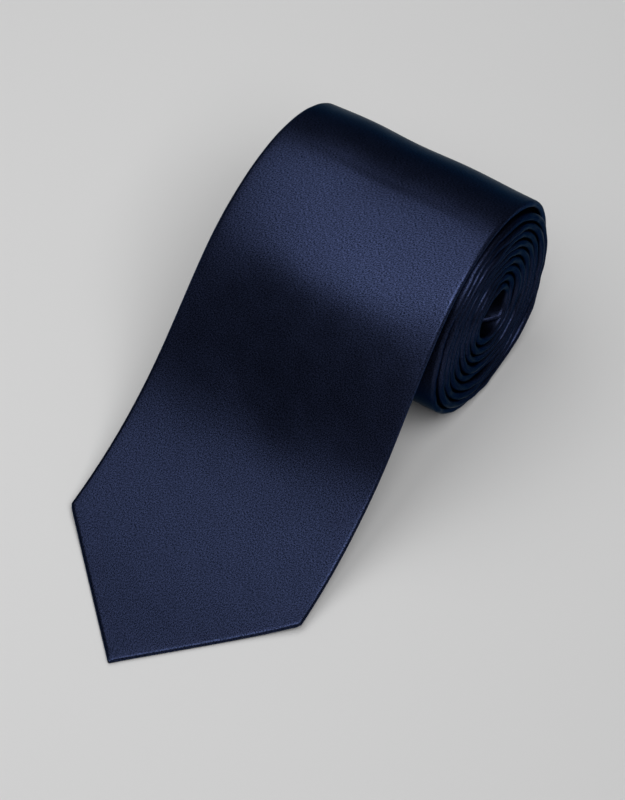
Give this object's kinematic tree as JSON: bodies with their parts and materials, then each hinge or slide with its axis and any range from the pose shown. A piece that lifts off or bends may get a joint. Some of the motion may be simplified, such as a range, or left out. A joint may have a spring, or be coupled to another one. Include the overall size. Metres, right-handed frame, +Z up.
{
  "type": "rolled necktie",
  "caption": "Plain satin necktie rolled up from its narrow end, with the pointed front blade left lying free down a ramp to the table.",
  "frame": {"origin": "on the table, under the middle of the rolled tie's box", "axes": "+X across the tie, towards the flush end of the roll; +Y along the table from the point of the blade to the roll; +Z up"},
  "size_m": [0.08, 0.1812, 0.0683],
  "materials": {
    "shell_satin": "navy silk satin with a soft broad sheen",
    "interlining_wool": "undyed brushed wool blend",
    "tipping_lining": "navy lining twill",
    "sewing_thread": "navy silk thread",
    "label_tape": "blank woven tape"
  },
  "bodies": {
    "roll": {"front_shell_roll": "shell_satin", "neck_shell": "shell_satin", "tail_shell": "shell_satin", "interlining_roll": "interlining_wool", "tail_tipping": "tipping_lining", "front_piecing_seam": "sewing_thread", "tail_piecing_seam": "sewing_thread", "slip_stitch_roll": "sewing_thread", "tail_bar_tack": "sewing_thread", "keeper_loop": "shell_satin", "fibre_label": "label_tape"},
    "rise": {"front_shell_rise": "shell_satin", "interlining_rise": "interlining_wool", "front_tipping_rise": "tipping_lining", "slip_stitch_rise": "sewing_thread", "front_bar_tack": "sewing_thread", "spare_thread_loop": "sewing_thread"},
    "tip": {"front_shell_tip": "shell_satin", "interlining_tip": "interlining_wool", "front_tipping_tip": "tipping_lining"}
  },
  "joints": [
    {"name": "blade_lift", "type": "hinge", "parent": "roll", "child": "rise", "pos_m": [0, 0.05636, 0.06751], "axis": [-1, 0, 0], "range_deg": [0, 90]},
    {"name": "tip_lift", "type": "hinge", "parent": "rise", "child": "tip", "pos_m": [0, -0.0652, 0.00075], "axis": [-1, 0, 0], "range_deg": [0, 80]}
  ]
}
